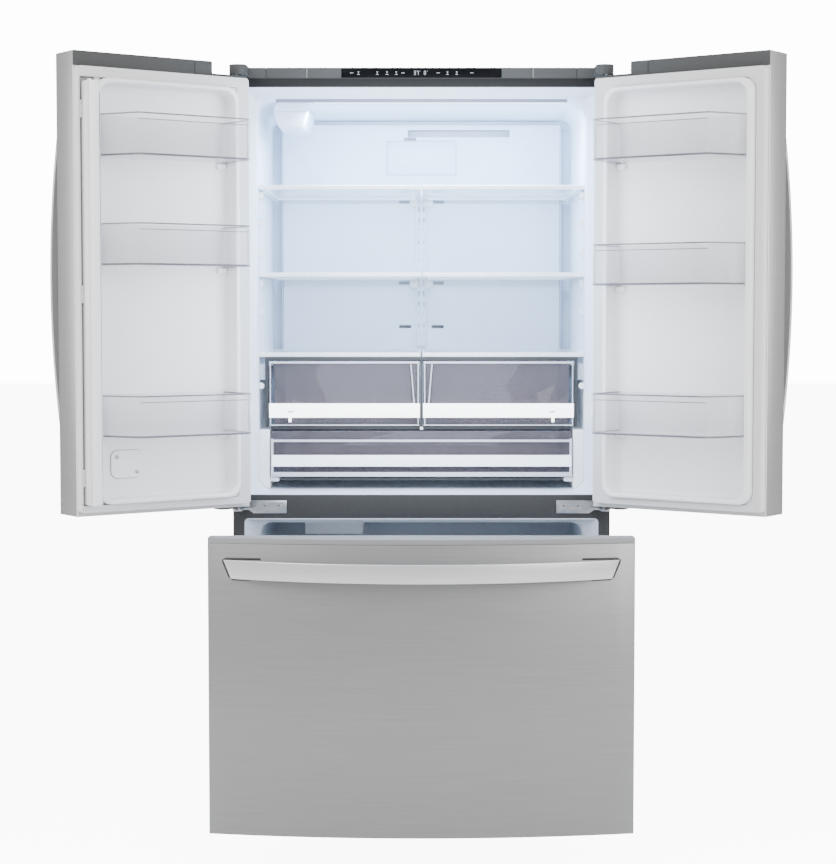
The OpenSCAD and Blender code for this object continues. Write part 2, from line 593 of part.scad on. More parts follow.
// ---- freezer drawer, drawn closed ----
drawer_skin_top = drawer_top - 12;
module drawer_skin() on_drawer() color([0.68, 0.69, 0.7]) difference() {
    translate([0, 0, drawer_z]) linear_extrude(drawer_skin_top - drawer_z)
        front_outline(-door_edge, door_edge, 0, face_y - liner_t);
    translate([0, 0, drawer_z + sheet_t]) linear_extrude(drawer_h)
        front_outline(-door_edge + sheet_t, door_edge - sheet_t, sheet_t, 0);
}
module drawer_liner() on_drawer() color([0.87, 0.9, 0.92]) {
    slab(-door_edge, door_edge, face_y - liner_t, face_y, drawer_z, drawer_skin_top);
    front_block(-freezer_half + 36, freezer_half - 36, face_y, face_y + 22, freezer_z + 16,
        rail_z - 26, 20);
}
module drawer_cap() on_drawer() color([0.62, 0.63, 0.64])
    translate([0, 0, drawer_skin_top]) linear_extrude(drawer_top - drawer_skin_top)
        front_outline(-door_edge, door_edge, 0, face_y);
module drawer_gasket() on_drawer() color([0.8, 0.8, 0.81])
    gasket_ring([-door_edge + 3, door_edge - 3, drawer_z + 4, drawer_top - 14, 8],
        [-door_edge + 20, door_edge - 20, drawer_z + 21, drawer_top - 31, 4]);
bar_edge = bow_r - sqrt(bow_r * bow_r - drawer_handle_half * drawer_handle_half);
bar_sag = handle_out + bar_edge - handle_lip;
bar_r = (drawer_handle_half * drawer_handle_half + bar_sag * bar_sag) / (2 * bar_sag);
module drawer_handle() on_drawer() color([0.8, 0.8, 0.81]) difference() {
    translate([0, front_y - handle_out + bar_r, drawer_top - 66 - handle_w / 2])
        linear_extrude(handle_w) intersection() {
            difference() {
                circle(bar_r, $fn = 256);
                circle(bar_r - handle_t, $fn = 256);
            }
            translate([-drawer_handle_half, -bar_r]) square([2 * drawer_handle_half, bar_sag + 8]);
        }
    translate([0, 0, drawer_z]) linear_extrude(drawer_h) front_outline(-door_edge, door_edge, 0, 0);
}
basket_z = freezer_z + 20;
module freezer_basket() on_drawer() color([0.9, 0.92, 0.94]) {
    tub(-basket_half, basket_half, face_y + 24, basket_d, basket_z, basket_rim, wall);
    both_sides() slab(basket_half, freezer_half - 33, 10, basket_d, freezer_rail_z + 6,
        freezer_rail_z + 40);
}
module drawer_slides() on_drawer() color([0.75, 0.76, 0.77]) both_sides()
    slab(freezer_half - 33, freezer_half - 29, face_y, basket_d + 70, freezer_rail_z + 10,
        freezer_rail_z + 36);
module drawer_mid_slides() placed() translate([0, -drawer_pull / 2, 0]) color([0.65, 0.66, 0.67])
    both_sides() slab(freezer_half - 28, freezer_half - 4, 8, freezer_depth - 20, freezer_rail_z + 6,
        freezer_rail_z + 40);
module freezer_tray() color([0.88, 0.91, 0.94]) placed()
    tub(-basket_half, basket_half, mouth_d, 310, freezer_ledge_z + 9, rail_z - 92, wall);

// ---- crispers and pantry ----
band_z = crisper_z + 25;
module crisper_body() {
    tub(10, crisper_reach - 10, shelf_front + 8, crisper_back, crisper_z, rim_z, wall);
    difference() {
        slab(4, crisper_reach, shelf_front + 8, crisper_back, rim_z, crisper_top);
        slab(10 + wall, crisper_reach - 10 - wall, shelf_front + 8 + wall, crisper_back - wall,
            rim_z - 1, crisper_top + 1);
    }
    difference() {
        slab(4, crisper_reach, shelf_front - 4, shelf_front + 8, band_z, band_z + 28);
        slab(crisper_reach - 90, crisper_reach - 20, shelf_front - 5, shelf_front, band_z + 8,
            band_z + 14);
    }
}
slide_x = crisper_reach - 60;
module humidity_slide() slab(slide_x, slide_x + 14, shelf_front - 8, shelf_front - 0.3, band_z + 8.3,
    band_z + 13.7);
module crisper_right() color([0.85, 0.88, 0.92, 0.5]) placed() crisper_body();
module crisper_left() color([0.85, 0.88, 0.92, 0.5]) placed() mirror([1, 0, 0]) crisper_body();
module humidity_slide_right() color("white") placed() humidity_slide();
module humidity_slide_left() color("white") placed() mirror([1, 0, 0]) humidity_slide();
module pantry_drawer() color([0.85, 0.88, 0.92, 0.5]) placed() {
    tub(-pantry_half, pantry_half, 104, pantry_back - 4, pantry_z, pantry_z + pantry_h, wall);
    slab(-pantry_half + 10, pantry_half - 10, 92, 104, pantry_z + 24, pantry_z + 54);
}

outer_case();
rear_panel();
base_tray();
cabinet_foam();
fridge_liner();
freezer_liner();
front_frame();
top_cover();
display_panel();
hinge_covers();
upper_hinges();
lower_hinges();
duct_panel();
shelf_supports();
shelf_frames();
shelf_glass();
crisper_rails();
pantry_rails();
filter_housing();
ceiling_light();
freezer_rails();
kick_grille();
levelling_feet();
compressor();
evaporator();
drain_pan();
rear_cover();
ice_maker();
water_valve();
rear_rollers();
condenser_fan();
evaporator_fan();
door_left_skin();
door_left_liner();
door_left_caps();
door_left_gasket();
door_left_handle();
door_left_bins();
door_right_skin();
door_right_liner();
door_right_caps();
door_right_gasket();
door_right_handle();
door_right_bins();
flap_housing();
flap_plate();
drawer_skin();
drawer_liner();
drawer_cap();
drawer_gasket();
drawer_handle();
freezer_basket();
drawer_slides();
drawer_mid_slides();
freezer_tray();
crisper_left();
crisper_right();
humidity_slide_left();
humidity_slide_right();
pantry_drawer();
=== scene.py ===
"""French door refrigerator with a bottom freezer drawer, doors and drawer open. Metres, +Z up, front towards -Y."""
import json
import math

import bmesh
import bpy
from mathutils import Matrix, Vector


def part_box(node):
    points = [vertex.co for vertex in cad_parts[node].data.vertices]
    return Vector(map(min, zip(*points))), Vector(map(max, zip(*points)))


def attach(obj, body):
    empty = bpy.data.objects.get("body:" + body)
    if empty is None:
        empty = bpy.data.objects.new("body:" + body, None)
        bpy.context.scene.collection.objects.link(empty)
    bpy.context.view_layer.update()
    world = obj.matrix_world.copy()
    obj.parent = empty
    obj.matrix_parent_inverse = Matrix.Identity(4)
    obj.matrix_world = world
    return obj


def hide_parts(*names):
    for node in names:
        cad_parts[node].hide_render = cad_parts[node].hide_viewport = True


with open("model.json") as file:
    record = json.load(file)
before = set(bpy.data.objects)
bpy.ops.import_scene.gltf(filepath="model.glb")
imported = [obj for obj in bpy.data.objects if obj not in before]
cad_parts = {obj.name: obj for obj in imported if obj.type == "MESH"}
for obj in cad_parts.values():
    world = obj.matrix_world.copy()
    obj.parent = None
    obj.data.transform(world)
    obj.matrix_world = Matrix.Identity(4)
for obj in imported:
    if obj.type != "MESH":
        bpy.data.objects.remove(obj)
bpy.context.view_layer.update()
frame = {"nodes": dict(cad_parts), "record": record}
record = frame["record"]
body_of = {node: body for body, nodes in record["behaviour"]["bodies"].items() for node in nodes}
slot_of = {entry["node"]: entry["material_slot"] for entry in record["subparts"]}

# ---- driving dimensions, read from the frame ----
mm = 0.001
case_high = Vector(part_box("outer_case")[1])
front_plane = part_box("front_frame")[0][1]
half_width = case_high.x
cover_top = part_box("top_cover")[1][2]
liner_low, liner_high = (Vector(corner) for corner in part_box("fridge_liner"))
duct_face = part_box("duct_panel")[0][1]
hinge_x = half_width - 16 * mm
hinge_y = front_plane - 50 * mm
door_angle = math.radians(144)
door_face = -22 * mm            # inner face of a closed door, from the front plane
door_low_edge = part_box("door_right_skin")[0][2]
door_high = cover_top - 34 * mm
latch_edge = 3 * mm             # a closed door's edge at the middle of the cabinet
recess_floor = front_plane + door_face - 15 * mm
bin_depth = 122 * mm
bin_height = 94 * mm


# ---- camera, light and floor ----
def camera():
    bpy.ops.object.camera_add(location=(0, -4.889, 1.185), rotation=(math.radians(86.68), 0, 0))
    view = bpy.context.object
    view.data.lens = 84.39
    view.data.sensor_width = 36
    view.data.shift_x = -0.004
    bpy.context.scene.camera = view


def soft_light(name, place, target, size, power, tint=(1, 1, 1)):
    aim = (Vector(target) - Vector(place)).to_track_quat("-Z", "Y").to_euler()
    bpy.ops.object.light_add(type="AREA", location=place, rotation=aim)
    lamp = bpy.context.object
    lamp.name = name
    lamp.data.shape = "RECTANGLE"
    lamp.data.size, lamp.data.size_y = size
    lamp.data.energy = power
    lamp.data.color = tint


def brighter_to_camera(tree, strength, lit, seen):
    """Keeps the backdrop a clean white while it lights the scene with its own strength."""
    path = tree.nodes.new("ShaderNodeLightPath")
    level = tree.nodes.new("ShaderNodeMapRange")
    level.inputs["To Min"].default_value, level.inputs["To Max"].default_value = lit, seen
    tree.links.new(path.outputs["Is Camera Ray"], level.inputs["Value"])
    tree.links.new(level.outputs["Result"], strength)


def studio():
    world = bpy.data.worlds.new("studio_white")
    world.use_nodes = True
    sky = world.node_tree.nodes["Background"]
    sky.inputs["Color"].default_value = (1, 1, 1, 1)
    brighter_to_camera(world.node_tree, sky.inputs["Strength"], 1.3, 14.0)
    bpy.context.scene.world = world
    soft_light("key_light", (-2.6, -3.4, 3.6), (0, 0, 1), (2.4, 2.4), 115)
    soft_light("fill_light", (2.8, -3.6, 2.4), (0, 0, 1), (2.4, 2.4), 100)
    for side in (-1, 1):
        soft_light("side_light_" + side_name(side), (side * 3.2, -0.5, 1.5), (side * 0.7, -0.2, 1.2), (1.2, 2.0), 42)
    inside = (liner_low + liner_high) / 2
    soft_light("ceiling_glow", (0.03, liner_low.y + 0.13, liner_high.z - 0.045), (0.03, inside.y + 0.06, 0.8),
               (0.60, 0.05), 14, (0.58, 0.74, 1))
    soft_light("inside_fill", (0, liner_low.y - 0.35, 1.35), (0, inside.y, 1.3), (0.6, 0.8), 9, (0.72, 0.84, 1))
    bpy.ops.mesh.primitive_plane_add(size=60, location=(0, 0, 0))
    floor = bpy.context.object
    floor.name = "studio_floor"
    floor.data.materials.append(finish_floor())


# ---- finishes ----
def shader_graph(name):
    material = bpy.data.materials.new(name)
    material.use_nodes = True
    nodes, links = material.node_tree.nodes, material.node_tree.links
    return material, nodes, links, nodes["Principled BSDF"]


def surface(name, light, dark, rough=(0.35, 0.45), stretch=(1, 1, 1), scale=40.0, bump=0.1, depth=0.0002,
            edge_alpha=None, **constants):
    """A finish with two close tones, uneven gloss and a fine relief, all from one stretched noise."""
    material, nodes, links, shader = shader_graph(name)
    coords = nodes.new("ShaderNodeTexCoord")
    mapping = nodes.new("ShaderNodeMapping")
    mapping.inputs["Scale"].default_value = stretch
    noise = nodes.new("ShaderNodeTexNoise")
    noise.inputs["Scale"].default_value = scale
    noise.inputs["Detail"].default_value = 5
    tones = nodes.new("ShaderNodeValToRGB")
    tones.color_ramp.elements[0].color = (*dark, 1)
    tones.color_ramp.elements[1].color = (*light, 1)
    tones.color_ramp.elements[0].position = 0.3
    tones.color_ramp.elements[1].position = 0.7
    gloss = nodes.new("ShaderNodeMapRange")
    gloss.inputs["To Min"].default_value, gloss.inputs["To Max"].default_value = rough
    relief = nodes.new("ShaderNodeBump")
    relief.inputs["Strength"].default_value = bump
    relief.inputs["Distance"].default_value = depth
    links.new(coords.outputs["Object"], mapping.inputs["Vector"])
    links.new(mapping.outputs["Vector"], noise.inputs["Vector"])
    links.new(noise.outputs["Fac"], tones.inputs["Fac"])
    links.new(noise.outputs["Fac"], gloss.inputs["Value"])
    links.new(noise.outputs["Fac"], relief.inputs["Height"])
    links.new(tones.outputs["Color"], shader.inputs["Base Color"])
    links.new(gloss.outputs["Result"], shader.inputs["Roughness"])
    links.new(relief.outputs["Normal"], shader.inputs["Normal"])
    if edge_alpha:
        rim = nodes.new("ShaderNodeLayerWeight")
        rim.inputs["Blend"].default_value = 0.35
        veil = nodes.new("ShaderNodeMapRange")
        veil.inputs["To Min"].default_value, veil.inputs["To Max"].default_value = edge_alpha
        links.new(rim.outputs["Facing"], veil.inputs["Value"])
        links.new(veil.outputs["Result"], shader.inputs["Alpha"])
    for socket, value in constants.items():
        shader.inputs[socket.replace("_", " ")].default_value = value
    return material


def finish_floor():
    material = surface("floor_white", (0.93, 0.93, 0.93), (0.91, 0.91, 0.91), (0.7, 0.8), scale=3, bump=0.0,
                       Emission_Color=(1, 1, 1, 1))
    shader = material.node_tree.nodes["Principled BSDF"]
    brighter_to_camera(material.node_tree, shader.inputs["Emission Strength"], 0, 9)
    return material


def make_finishes():
    across = (0.6, 0.6, 60)
    along = (60, 60, 0.6)
    return {
        "stainless_skin": surface("brushed_stainless", (0.30, 0.30, 0.30), (0.265, 0.265, 0.265), (0.36, 0.46),
                                  across, 14, 0.12, Metallic=1.0),
        "handle_steel": surface("brushed_handle_steel", (0.50, 0.50, 0.505), (0.45, 0.45, 0.455), (0.30, 0.38),
                                along, 14, 0.1, Metallic=0.55),
        "drawer_handle_steel": surface("brushed_drawer_handle", (0.68, 0.68, 0.685), (0.61, 0.61, 0.615),
                                       (0.26, 0.34), across, 14, 0.1, Metallic=1.0),
        "case_paint": surface("dark_case_paint", (0.033, 0.034, 0.035), (0.028, 0.029, 0.030), (0.42, 0.52),
                              scale=320, bump=0.15, Specular_IOR_Level=0.3),
        # a darker copy of the case paint for the header: painted shade, as under the top cover
        "header_painted_shade": surface("header_painted_shade_finish", (0.017, 0.018, 0.019), (0.014, 0.015, 0.016), (0.5, 0.6),
                                scale=320, bump=0.15, Specular_IOR_Level=0.15),
        "galvanised_sheet": surface("galvanised_sheet", (0.42, 0.425, 0.43), (0.38, 0.385, 0.39), (0.35, 0.5),
                                    scale=22, bump=0.05, Metallic=1.0),
        # black enamel, also used for the black sheet of painted shade behind the kick grille
        "black_sheet": surface("black_enamel_and_painted_shade", (0.03, 0.03, 0.032), (0.02, 0.02, 0.022), (0.4, 0.5), scale=200),
        "insulation_foam": surface("rigid_foam", (0.86, 0.8, 0.5), (0.76, 0.7, 0.4), (0.8, 0.9), scale=160, bump=0.4,
                                   depth=0.001),
        "liner_plastic": surface("cool_white_liner", (0.79, 0.87, 0.98), (0.765, 0.845, 0.96), (0.30, 0.38),
                                 scale=260, bump=0.08),
        "door_liner_plastic": surface("white_door_liner", (0.87, 0.88, 0.89), (0.845, 0.855, 0.865), (0.28, 0.36),
                                      scale=260, bump=0.08),
        "trim_plastic": surface("white_trim", (0.93, 0.94, 0.95), (0.90, 0.915, 0.93), (0.24, 0.32), scale=180,
                                bump=0.04),
        "light_lens": surface("frosted_lens", (0.9, 0.94, 1.0), (0.86, 0.91, 1.0), (0.4, 0.5), scale=400,
                              Emission_Color=(0.86, 0.93, 1, 1), Emission_Strength=1.6),
        "cap_plastic": surface("gray_cap_plastic", (0.060, 0.062, 0.063), (0.052, 0.054, 0.055), (0.45, 0.55),
                               scale=420, bump=0.2, Specular_IOR_Level=0.2),
        "drawer_cap_plastic": surface("light_cap_plastic", (0.24, 0.243, 0.247), (0.21, 0.213, 0.217), (0.4, 0.5),
                                      scale=420, bump=0.2),
        "display_gloss": surface("black_display", (0.006, 0.006, 0.007), (0.004, 0.004, 0.005), (0.2, 0.25),
                                 scale=60, bump=0.01, Specular_IOR_Level=0.02),
        "door_flange_paint": surface("light_gray_flange", (0.56, 0.56, 0.56), (0.53, 0.53, 0.53), (0.34, 0.42),
                                     scale=260, bump=0.06),
        "hinge_steel": surface("zinc_hinge_steel", (0.40, 0.41, 0.43), (0.32, 0.33, 0.35), (0.28, 0.4), scale=90,
                               bump=0.1, Metallic=1.0),
        "flap_steel": surface("gray_flap_steel", (0.74, 0.73, 0.72), (0.68, 0.67, 0.66), (0.4, 0.5), along, 14,
                              Metallic=0.1),
        "gasket_rubber": surface("gray_gasket", (0.66, 0.66, 0.67), (0.61, 0.61, 0.62), (0.5, 0.6), scale=300,
                                 bump=0.2),
        "clear_plastic": surface("clear_plastic", (0.80, 0.81, 0.85), (0.77, 0.78, 0.83), (0.06, 0.12), scale=30,
                                 bump=0.02, edge_alpha=(0.07, 0.55)),
        "basket_plastic": surface("frosted_basket", (0.78, 0.81, 0.86), (0.74, 0.77, 0.83), (0.35, 0.45), scale=240,
                                  bump=0.1),
        "shelf_glass": surface("shelf_glass", (0.72, 0.86, 0.86), (0.70, 0.84, 0.84), (0.03, 0.06), scale=20,
                               bump=0.0, edge_alpha=(0.12, 0.65)),
        # real charcoal plastic, also used for the dark strips and lines that are painted shade
        "grille_plastic": surface("charcoal_plastic_and_painted_shade", (0.035, 0.037, 0.04), (0.028, 0.03, 0.032), (0.45, 0.55),
                                  scale=380, bump=0.2),
        "foot_plastic": surface("dark_nylon", (0.05, 0.05, 0.053), (0.04, 0.04, 0.043), (0.5, 0.6), scale=300),
        "fan_plastic": surface("fan_plastic", (0.7, 0.71, 0.73), (0.66, 0.67, 0.69), (0.35, 0.45), scale=260),
        "fin_aluminium": surface("fin_aluminium", (0.74, 0.75, 0.77), (0.66, 0.67, 0.69), (0.3, 0.42), scale=120,
                                 Metallic=1.0),
        "freezer_plastic": surface("blue_gray_freezer_liner", (0.48, 0.53, 0.60), (0.45, 0.50, 0.57), (0.34, 0.42),
                                   scale=260, bump=0.08),
        "liner_shade": surface("shaded_liner_seam", (0.25, 0.27, 0.33), (0.22, 0.24, 0.30), (0.4, 0.5), scale=260),
        # dark beads on clear rims and feet: painted shade for the dark lines that refraction gives clear plastic's
        # edges
        "dark_edge_painted_shade": surface("clear_plastic_edge_painted_shade", (0.15, 0.135, 0.18), (0.12, 0.11, 0.15), (0.08, 0.16), scale=60,
                              bump=0.02, Alpha=0.68),
        # light beads along clear fronts: painted highlights where the plastic's edges catch light
        "painted_edge_highlight": surface("clear_plastic_painted_highlight", (0.78, 0.78, 0.84), (0.72, 0.72, 0.79), (0.1, 0.2), scale=60,
                              bump=0.02, Alpha=0.85),
        # the crisper bands glow by emission though they are no lamps: painted light
        "white_band_painted_glow": surface("white_band_painted_glow_finish", (0.95, 0.96, 0.97), (0.93, 0.94, 0.955), (0.2, 0.28), scale=180,
                              bump=0.03, Emission_Color=(1, 1, 1, 1), Emission_Strength=4.0),
        # the pantry band glows by emission though it is no lamp: painted light
        "bluish_band_painted_glow": surface("bluish_band_painted_glow_finish", (0.90, 0.94, 0.99), (0.87, 0.915, 0.97), (0.2, 0.28), scale=180,
                               bump=0.03, Emission_Color=(0.8, 0.88, 1, 1), Emission_Strength=1.4),
        "smoky_clear": surface("smoky_clear_plastic", (0.19, 0.17, 0.20), (0.16, 0.145, 0.17), (0.05, 0.1), scale=30,
                               bump=0.02, edge_alpha=(0.38, 0.75)),
        "lit_marks": surface("lit_marks", (0.45, 0.48, 0.52), (0.4, 0.43, 0.47), (0.4, 0.5), scale=60,
                             Emission_Color=(0.8, 0.88, 1, 1), Emission_Strength=0.1),
        "valve_plastic": surface("valve_plastic", (0.78, 0.77, 0.68), (0.72, 0.71, 0.62), (0.35, 0.45), scale=200),
    }


# ---- modelling helpers ----
def clear_selection():
    bpy.ops.object.select_all(action="DESELECT")


def only(piece):
    clear_selection()
    piece.select_set(True)
    bpy.context.view_layer.objects.active = piece


def keep_modifier(piece, kind, **settings):
    only(piece)
    modifier = piece.modifiers.new(kind.lower(), kind)
    for setting, value in settings.items():
        setattr(modifier, setting, value)
    bpy.ops.object.modifier_apply(modifier=modifier.name)


def block(name, low, high):
    clear_selection()
    low, high = Vector(low), Vector(high)
    bpy.ops.mesh.primitive_cube_add(size=1, location=(low + high) / 2)
    piece = bpy.context.object
    piece.name = piece.data.name = name
    piece.scale = high - low
    bpy.ops.object.transform_apply(location=True, rotation=True, scale=True)
    return piece


def disc(name, centre, radius, depth, axis="Z", sides=48):
    clear_selection()
    turn = {"X": (0, math.pi / 2, 0), "Y": (math.pi / 2, 0, 0), "Z": (0, 0, 0)}[axis]
    bpy.ops.mesh.primitive_cylinder_add(vertices=sides, radius=radius, depth=depth, location=centre, rotation=turn)
    piece = bpy.context.object
    piece.name = piece.data.name = name
    bpy.ops.object.transform_apply(location=True, rotation=True, scale=True)
    return piece


def round_edges(piece, width, segments=3, where=None, sharp=35):
    """Rounds the sharp edges, or those of them whose middle passes the test, and smooths the shading."""
    only(piece)
    bpy.ops.object.mode_set(mode="EDIT")
    bpy.ops.mesh.select_mode(type="EDGE")
    bpy.ops.mesh.select_all(action="DESELECT")
    shape = bmesh.from_edit_mesh(piece.data)
    for edge in shape.edges:
        if len(edge.link_faces) == 2 and edge.calc_face_angle() > math.radians(sharp):
            middle = (edge.verts[0].co + edge.verts[1].co) / 2
            edge.select_set(where is None or where(middle, edge))
    bmesh.update_edit_mesh(piece.data)
    bpy.ops.mesh.bevel(offset=width, segments=segments, profile=0.5, clamp_overlap=True, affect="EDGES")
    bpy.ops.object.mode_set(mode="OBJECT")
    bpy.ops.object.shade_smooth_by_angle(angle=math.radians(40))
    return piece


def cut(piece, cutter):
    keep_modifier(piece, "BOOLEAN", object=cutter, operation="DIFFERENCE", solver="EXACT")
    bpy.data.objects.remove(cutter, do_unlink=True)
    return piece


def join(name, pieces):
    clear_selection()
    for piece in pieces:
        piece.select_set(True)
    bpy.context.view_layer.objects.active = pieces[0]
    bpy.ops.object.join()
    joined = bpy.context.object
    joined.name = joined.data.name = name
    return joined


def copy_of(node, name):
    """A merged copy of a CAD node's mesh, at the origin and free of its body."""
    source = frame["nodes"][node]
    piece = bpy.data.objects.new(name, source.data.copy())
    piece.data.name = name
    bpy.context.scene.collection.objects.link(piece)
    piece.data.transform(source.matrix_world)
    only(piece)
    bpy.ops.object.mode_set(mode="EDIT")
    bpy.ops.mesh.select_all(action="SELECT")
    bpy.ops.mesh.remove_doubles(threshold=0.00002)
    bpy.ops.mesh.dissolve_limited(angle_limit=math.radians(0.3))
    bpy.ops.object.mode_set(mode="OBJECT")
    return piece


def finish(piece, material, body, slot, *nodes):
    piece.data.materials.clear()
    piece.data.materials.append(material)
    for polygon in piece.data.polygons:
        polygon.material_index = 0
    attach(piece, body)
    if nodes:
        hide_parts(*nodes)
    return piece


def refined(node, width, segments=3, where=None, material=None):
    """Stands a softened copy in for a CAD node."""
    piece = round_edges(copy_of(node, node + "_shape"), width, segments, where)
    return finish(piece, material or finishes[slot_of[node]], body_of[node], slot_of[node], node)


def paint_above(piece, height, material):
    """Gives the part of a piece above a height its own finish; here it sets the header's painted shade."""
    only(piece)
    bpy.ops.object.mode_set(mode="EDIT")
    bpy.ops.mesh.select_all(action="SELECT")
    bpy.ops.mesh.bisect(plane_co=(0, 0, height), plane_no=(0, 0, 1))
    bpy.ops.object.mode_set(mode="OBJECT")
    piece.data.materials.append(material)
    for polygon in piece.data.polygons:
        if polygon.center.z > height:
            polygon.material_index = 1


# ---- shapes shared by several pieces ----
def bin_drops(side):
    """How far below the door's top each bin's rim lies."""
    return [drop * mm for drop in ((106, 349, 734) if side < 0 else (106, 392, 734))]


def door_place(side):
    """Takes a shape drawn on the closed right-hand door to the open door; side -1 gives the left one."""
    mirror = Matrix.Diagonal((side, 1, 1, 1))
    pivot = Matrix.Translation((hinge_x, hinge_y, 0))
    return mirror @ pivot @ Matrix.Rotation(door_angle, 4, "Z") @ pivot.inverted()


def side_name(side):
    return "left" if side < 0 else "right"


def put_on_door(piece, side):
    piece.data.transform(door_place(side))
    only(piece)
    bpy.ops.object.mode_set(mode="EDIT")
    bpy.ops.mesh.select_all(action="SELECT")
    bpy.ops.mesh.normals_make_consistent(inside=False)
    bpy.ops.object.mode_set(mode="OBJECT")
    return piece


def mirrored(piece, name):
    twin = bpy.data.objects.new(name, piece.data.copy())
    twin.data.name = name
    bpy.context.scene.collection.objects.link(twin)
    twin.data.transform(Matrix.Diagonal((-1, 1, 1, 1)))
    only(twin)
    bpy.ops.object.mode_set(mode="EDIT")
    bpy.ops.mesh.select_all(action="SELECT")
    bpy.ops.mesh.normals_make_consistent(inside=False)
    bpy.ops.object.mode_set(mode="OBJECT")
    return twin


def bead(name, points, radius, closed=False, sides=3):
    """A round bead along a line of points."""
    curve = bpy.data.curves.new(name, "CURVE")
    curve.dimensions = "3D"
    curve.bevel_depth = radius
    curve.bevel_resolution = sides
    curve.use_fill_caps = True
    line = curve.splines.new("POLY")
    line.points.add(len(points) - 1)
    for point, place in zip(line.points, points):
        point.co = (*place, 1)
    line.use_cyclic_u = closed
    piece = bpy.data.objects.new(name, curve)
    bpy.context.scene.collection.objects.link(piece)
    only(piece)
    bpy.ops.object.convert(target="MESH")
    bpy.ops.object.shade_smooth_by_angle(angle=math.radians(50))
    return bpy.context.object


def screw(name, centre, axis, radius, proud):
    """A pan head with a cross recess, its crown turned to the minus side of its axis."""
    head = disc(name, centre, radius, 2 * proud, axis, 32)
    round_edges(head, proud * 0.8, 3)
    side = {"X": Vector((1, 0, 0)), "Y": Vector((0, 1, 0)), "Z": Vector((0, 0, 1))}[axis]
    across = Vector((0, 0, 1)) if axis != "Z" else Vector((0, 1, 0))
    other = side.cross(across)
    top = Vector(centre)
    for run in (across, other):
        wide = [abs(value) for value in run]
        reach = Vector([radius * 0.55 * w + radius * 0.12 * (1 - w) for w in wide])
        for k in range(3):
            if abs(side[k]) > 0.5:
                reach[k] = proud * 1.6
        cut(head, block("slot", top - reach, top + reach))
    return head


def arc(centre, radius, start, end, count):
    return [(centre[0] + radius * math.cos(start + (end - start) * k / count),
             centre[1] + radius * math.sin(start + (end - start) * k / count)) for k in range(count + 1)]


def rounded_outline(low, high, radius, steps=6):
    """Corner points of a rounded rectangle, anticlockwise, as pairs."""
    corners = [((high[0] - radius, low[1] + radius), -90), ((high[0] - radius, high[1] - radius), 0),
               ((low[0] + radius, high[1] - radius), 90), ((low[0] + radius, low[1] + radius), 180)]
    return [point for centre, start in corners
            for point in arc(centre, radius, math.radians(start), math.radians(start + 90), steps)]


# ---- cabinet ----
def compartment_liners():
    back = liner_high.y - 4 * mm
    for node in ("fridge_liner", "freezer_liner"):
        piece = copy_of(node, node + "_shape")
        low_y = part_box(node)[0][1]
        round_edges(piece, 16 * mm, 5, lambda p, e: p.y > back and abs(p.x) < half_width - 56 * mm
                    and abs(e.verts[0].co.y - e.verts[1].co.y) < mm)
        round_edges(piece, 1.0 * mm, 2, lambda p, e: p.y < low_y + 2 * mm)
        finish(piece, finishes["liner_plastic" if node == "fridge_liner" else "freezer_plastic"],
               body_of[node], slot_of[node], node)


def top_controls():
    """The gloss control strip with two readouts and a row of plain marks."""
    low, high = (Vector(c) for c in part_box("display_panel"))
    refined("display_panel", 0.5 * mm, 2)
    face = low.y - 0.15 * mm
    middle = (low.z + high.z) / 2
    marks = []

    def mark(x1, x2, z1, z2):
        marks.append(block("mark", (x1, face, z1), (x2, face + 0.3 * mm, z2)))

    def digit(x, lit):
        wide, tall, thick = 4.6 * mm, 9.5 * mm, 1.0 * mm
        half = tall / 2
        bars = {"a": (0, wide, half - thick, half), "d": (0, wide, -half, -half + thick),
                "g": (0, wide, -thick / 2, thick / 2), "f": (0, thick, 0, half), "e": (0, thick, -half, 0),
                "b": (wide - thick, wide, 0, half), "c": (wide - thick, wide, -half, 0)}
        for name in lit:
            x1, x2, z1, z2 = bars[name]
            mark(x + x1, x + x2, middle + z1, middle + z2)

    segments = {"0": "abcdef", "3": "abgcd", "7": "abc"}
    for x, value in ((-18 * mm, "37"), (6 * mm, "0")):
        for k, number in enumerate(value):
            digit(x + k * 6.6 * mm, segments[number])
        mark(x + len(value) * 6.6 * mm + 0.6 * mm, x + len(value) * 6.6 * mm + 1.8 * mm, middle + 3.4 * mm,
             middle + 4.6 * mm)
    for x in (-150, -105, -82, -60, 62, 84):
        mark((x - 3) * mm, (x + 3) * mm, middle - 4.2 * mm, middle - 3.2 * mm)
        mark((x - 2) * mm, (x + 2) * mm, middle + 2 * mm, middle + 3 * mm)
        mark((x - 0.8) * mm, (x + 0.8) * mm, middle - 1 * mm, middle + 1 * mm)
    for x in (-166, -44, 40, 120):
        mark((x - 4) * mm, (x + 4) * mm, middle - 0.6 * mm, middle + 0.4 * mm)
    finish(join("display_marks", marks), finishes["lit_marks"], "cabinet", "light_lens")


